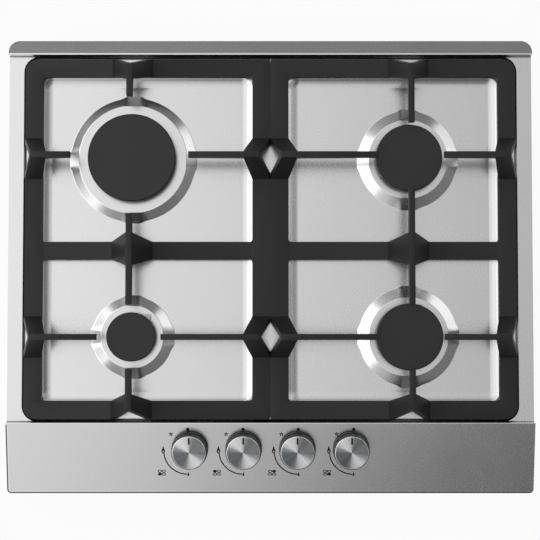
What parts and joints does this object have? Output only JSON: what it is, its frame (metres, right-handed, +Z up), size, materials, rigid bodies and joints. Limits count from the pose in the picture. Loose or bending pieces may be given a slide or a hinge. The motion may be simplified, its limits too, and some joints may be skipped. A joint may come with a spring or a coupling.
{
  "type": "built-in gas cooktop",
  "caption": "Built-in stainless-steel gas cooktop with raised burners, lift-off cast pan supports and push-and-turn knobs on a sloping front panel.",
  "frame": {"origin": "centre of the rim in plan, on the plane of the case's underside", "axes": "+X to the user's right along the rim, +Y to the rear, +Z up through the burners"},
  "size_m": [0.59, 0.51, 0.098],
  "materials": {
    "plate_steel": "brushed",
    "case_steel": "galvanised",
    "fixing_steel": "zinc plated",
    "seal_rubber": "soft",
    "support_iron": "matt black enamel",
    "feet_rubber": "soft",
    "burner_aluminium": "cast",
    "cap_enamel": "matt black enamel",
    "brass": "machined",
    "ceramic": "white glazed",
    "wire_steel": "plain",
    "tube_aluminium": "drawn",
    "valve_aluminium": "die cast",
    "knob_plastic": "satin",
    "knob_metal": "spun",
    "housing_plastic": "moulded",
    "terminal_plastic": "moulded",
    "lead_silicone": "soft",
    "wire_cover": "soft"
  },
  "bodies": {
    "hob": {"top_plate": "plate_steel", "bottom_case": "case_steel", "rim_seal": "seal_rubber", "case_fixings": "fixing_steel", "assembly_screws": "fixing_steel", "injectors": "brass", "spark_ceramics": "ceramic", "spark_pins": "wire_steel", "thermocouples": "wire_steel", "supply_tubes": "tube_aluminium", "tube_nuts": "brass", "gas_rail": "fixing_steel", "gas_inlet_elbow": "brass", "valve_bracket": "case_steel", "microswitches": "housing_plastic", "ignition_generator": "housing_plastic", "ignition_leads": "lead_silicone", "terminal_block": "terminal_plastic", "cable_gland": "housing_plastic", "wiring": "wire_cover", "burner_cup_rear_left": "burner_aluminium", "burner_cup_front_left": "burner_aluminium", "burner_cup_rear_right": "burner_aluminium", "burner_cup_front_right": "burner_aluminium", "valve_body_1": "valve_aluminium", "valve_body_2": "valve_aluminium", "valve_body_3": "valve_aluminium", "valve_body_4": "valve_aluminium"},
    "support_left": {"pan_support_left": "support_iron", "support_feet_left": "feet_rubber"},
    "support_right": {"pan_support_right": "support_iron", "support_feet_right": "feet_rubber"},
    "crown_rear_left": {"burner_crown_rear_left": "burner_aluminium"},
    "cap_rear_left": {"burner_cap_rear_left": "cap_enamel"},
    "crown_front_left": {"burner_crown_front_left": "burner_aluminium"},
    "cap_front_left": {"burner_cap_front_left": "cap_enamel"},
    "crown_rear_right": {"burner_crown_rear_right": "burner_aluminium"},
    "cap_rear_right": {"burner_cap_rear_right": "cap_enamel"},
    "crown_front_right": {"burner_crown_front_right": "burner_aluminium"},
    "cap_front_right": {"burner_cap_front_right": "cap_enamel"},
    "plug_1": {"valve_plug_1": "brass", "valve_spring_1": "wire_steel"},
    "knob_1": {"valve_spindle_1": "wire_steel", "knob_1": "knob_plastic", "knob_face_1": "knob_metal"},
    "plug_2": {"valve_plug_2": "brass", "valve_spring_2": "wire_steel"},
    "knob_2": {"valve_spindle_2": "wire_steel", "knob_2": "knob_plastic", "knob_face_2": "knob_metal"},
    "plug_3": {"valve_plug_3": "brass", "valve_spring_3": "wire_steel"},
    "knob_3": {"valve_spindle_3": "wire_steel", "knob_3": "knob_plastic", "knob_face_3": "knob_metal"},
    "plug_4": {"valve_plug_4": "brass", "valve_spring_4": "wire_steel"},
    "knob_4": {"valve_spindle_4": "wire_steel", "knob_4": "knob_plastic", "knob_face_4": "knob_metal"}
  },
  "joints": [
    {"name": "pan_support_left_lift", "type": "slide", "parent": "hob", "child": "support_left", "axis": [0, 0, 1], "range_m": [0, 0.08]},
    {"name": "pan_support_right_lift", "type": "slide", "parent": "hob", "child": "support_right", "axis": [0, 0, 1], "range_m": [0, 0.08]},
    {"name": "crown_rear_left_lift", "type": "slide", "parent": "hob", "child": "crown_rear_left", "axis": [0, 0, 1], "range_m": [0, 0.009]},
    {"name": "cap_rear_left_lift", "type": "slide", "parent": "crown_rear_left", "child": "cap_rear_left", "axis": [0, 0, 1], "range_m": [0, 0.008]},
    {"name": "crown_front_left_lift", "type": "slide", "parent": "hob", "child": "crown_front_left", "axis": [0, 0, 1], "range_m": [0, 0.009]},
    {"name": "cap_front_left_lift", "type": "slide", "parent": "crown_front_left", "child": "cap_front_left", "axis": [0, 0, 1], "range_m": [0, 0.008]},
    {"name": "crown_rear_right_lift", "type": "slide", "parent": "hob", "child": "crown_rear_right", "axis": [0, 0, 1], "range_m": [0, 0.009]},
    {"name": "cap_rear_right_lift", "type": "slide", "parent": "crown_rear_right", "child": "cap_rear_right", "axis": [0, 0, 1], "range_m": [0, 0.008]},
    {"name": "crown_front_right_lift", "type": "slide", "parent": "hob", "child": "crown_front_right", "axis": [0, 0, 1], "range_m": [0, 0.009]},
    {"name": "cap_front_right_lift", "type": "slide", "parent": "crown_front_right", "child": "cap_front_right", "axis": [0, 0, 1], "range_m": [0, 0.008]},
    {"name": "knob_1_turn", "type": "hinge", "parent": "hob", "child": "plug_1", "pos_m": [-0.09, -0.2047, 0.05442], "axis": [0, -0.1935, 0.9811], "range_deg": [0, 180]},
    {"name": "knob_1_push", "type": "slide", "parent": "plug_1", "child": "knob_1", "axis": [0, 0.1935, -0.9811], "range_m": [0, 0.003], "stiffness_N_per_m": 500, "springref_m": -0.004, "deforming": ["valve_spring_1"]},
    {"name": "knob_2_turn", "type": "hinge", "parent": "hob", "child": "plug_2", "pos_m": [-0.03, -0.2047, 0.05442], "axis": [0, -0.1935, 0.9811], "range_deg": [0, 180]},
    {"name": "knob_2_push", "type": "slide", "parent": "plug_2", "child": "knob_2", "axis": [0, 0.1935, -0.9811], "range_m": [0, 0.003], "stiffness_N_per_m": 500, "springref_m": -0.004, "deforming": ["valve_spring_2"]},
    {"name": "knob_3_turn", "type": "hinge", "parent": "hob", "child": "plug_3", "pos_m": [0.03, -0.2047, 0.05442], "axis": [0, -0.1935, 0.9811], "range_deg": [0, 180]},
    {"name": "knob_3_push", "type": "slide", "parent": "plug_3", "child": "knob_3", "axis": [0, 0.1935, -0.9811], "range_m": [0, 0.003], "stiffness_N_per_m": 500, "springref_m": -0.004, "deforming": ["valve_spring_3"]},
    {"name": "knob_4_turn", "type": "hinge", "parent": "hob", "child": "plug_4", "pos_m": [0.09, -0.2047, 0.05442], "axis": [0, -0.1935, 0.9811], "range_deg": [0, 180]},
    {"name": "knob_4_push", "type": "slide", "parent": "plug_4", "child": "knob_4", "axis": [0, 0.1935, -0.9811], "range_m": [0, 0.003], "stiffness_N_per_m": 500, "springref_m": -0.004, "deforming": ["valve_spring_4"]}
  ]
}
